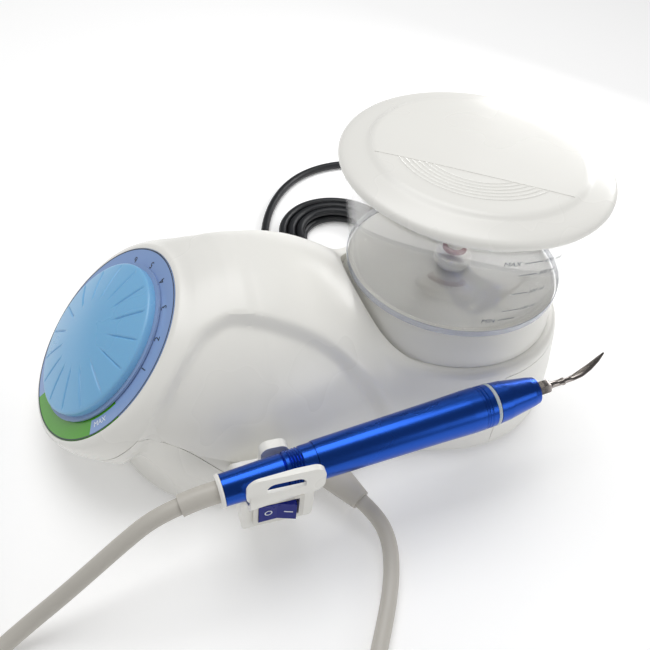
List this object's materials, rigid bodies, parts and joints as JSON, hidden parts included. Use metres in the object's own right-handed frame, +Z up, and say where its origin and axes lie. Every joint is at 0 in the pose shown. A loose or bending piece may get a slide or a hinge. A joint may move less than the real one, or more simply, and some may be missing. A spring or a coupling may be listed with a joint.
{
  "type": "ultrasonic dental scaler",
  "caption": "Bench-top ultrasonic dental scaler: tilted power dial, lift-off water tank, corded handpiece in a side cradle with a rocker switch.",
  "frame": {"origin": "middle of the unit's footprint, on the surface that it stands on", "axes": "+Z up; the dial faces -X; the handpiece cradle and the rocker switch are on the -Y side; the water tank is at +X"},
  "size_m": [0.3093, 0.4393, 0.1314],
  "materials": {
    "housing_white": "moulded ABS with a fine satin gloss",
    "grey_plastic": "moulded grey ABS",
    "scale_blue": "translucent blue acrylic, lit from behind",
    "scale_green": "translucent green acrylic",
    "knob_blue": "light blue knob with fine radial grooves",
    "clear": "clear polycarbonate",
    "rubber_dark": "moulded rubber",
    "seal_red": "dark red silicone rubber",
    "steel": "ground stainless steel",
    "titanium": "machined titanium",
    "handpiece_blue": "deep blue anodised aluminium, satin",
    "light_ring": "frosted light guide",
    "hose_grey": "grey silicone hose, satin",
    "lead_black": "black PVC lead",
    "plug_black": "black moulded plug",
    "rocker_blue": "glossy blue rocker",
    "switch_black": "white switch frame",
    "board_green": "glass fibre circuit board",
    "brass": "turned brass",
    "component_dark": "moulded components"
  },
  "bodies": {
    "root": {"upper_housing": "housing_white", "base_shell": "housing_white", "rear_cover": "housing_white", "base_plate": "grey_plastic", "rubber_feet": "rubber_dark", "base_screws": "steel", "scale_ring_blue": "scale_blue", "scale_ring_green": "scale_green", "dial_lamp_board": "board_green", "dial_lamps": "light_ring", "dial_bracket": "grey_plastic", "power_control": "component_dark", "tank_coupling": "brass", "coupling_seal": "rubber_dark", "handpiece_holder": "housing_white", "holder_clip": "grey_plastic", "switch_body": "switch_black", "hose_handpiece_side": "hose_grey", "hose_coil": "hose_grey", "hose_unit_side": "hose_grey", "hose_strain_relief": "hose_grey", "mains_lead": "lead_black", "mains_lead_coil": "lead_black", "mains_lead_plug_end": "lead_black", "mains_plug": "plug_black", "plug_pins": "brass", "mains_strain_relief": "lead_black", "main_board": "board_green", "board_components": "component_dark", "power_transformer": "component_dark", "water_valve": "brass", "supply_tube": "hose_grey", "foot_switch_socket": "component_dark"},
    "dial": {"dial_knob": "knob_blue", "knob_skirt": "clear", "control_shaft": "steel"},
    "tank": {"tank_drum": "grey_plastic", "tank_bowl": "clear", "valve_boss": "grey_plastic", "valve_spring": "steel"},
    "valve": {"valve_plunger": "housing_white", "valve_seal": "seal_red"},
    "lid": {"tank_lid": "housing_white"},
    "handpiece": {"handpiece_rear_sleeve": "handpiece_blue", "handpiece_main_sleeve": "handpiece_blue", "handpiece_light_ring": "light_ring", "handpiece_nose": "handpiece_blue", "handpiece_connector": "component_dark", "ultrasonic_transducer": "titanium", "scaler_tip": "steel", "hose_collar": "housing_white", "hose_boot": "hose_grey"},
    "rocker": {"switch_rocker": "rocker_blue"}
  },
  "joints": [
    {"name": "dial_turn", "type": "hinge", "parent": "root", "child": "dial", "pos_m": [-0.09653, 0.0139, 0.0523], "axis": [-0.7034, 0, 0.7108], "range_deg": [-280, 0]},
    {"name": "switch_rock", "type": "hinge", "parent": "root", "child": "rocker", "pos_m": [-0.03935, -0.0699, 0.03], "axis": [0, 0, 1], "range_deg": [0, 16]},
    {"name": "tank_lift", "type": "slide", "parent": "root", "child": "tank", "axis": [0, 0, 1], "range_m": [0, 0.06]},
    {"name": "lid_lift", "type": "slide", "parent": "tank", "child": "lid", "axis": [0, 0, 1], "range_m": [0, 0.03]},
    {"name": "valve_drop", "type": "slide", "parent": "tank", "child": "valve", "axis": [0, 0, 1], "range_m": [-0.0024, 0], "deforming": ["valve_spring"]},
    {"name": "handpiece_lift", "type": "slide", "parent": "root", "child": "handpiece", "axis": [0, 0, 1], "range_m": [0, 0.04]}
  ],
  "couplings": [
    {"joint": "valve_drop", "follows": "tank_lift", "ratio": -0.039}
  ]
}
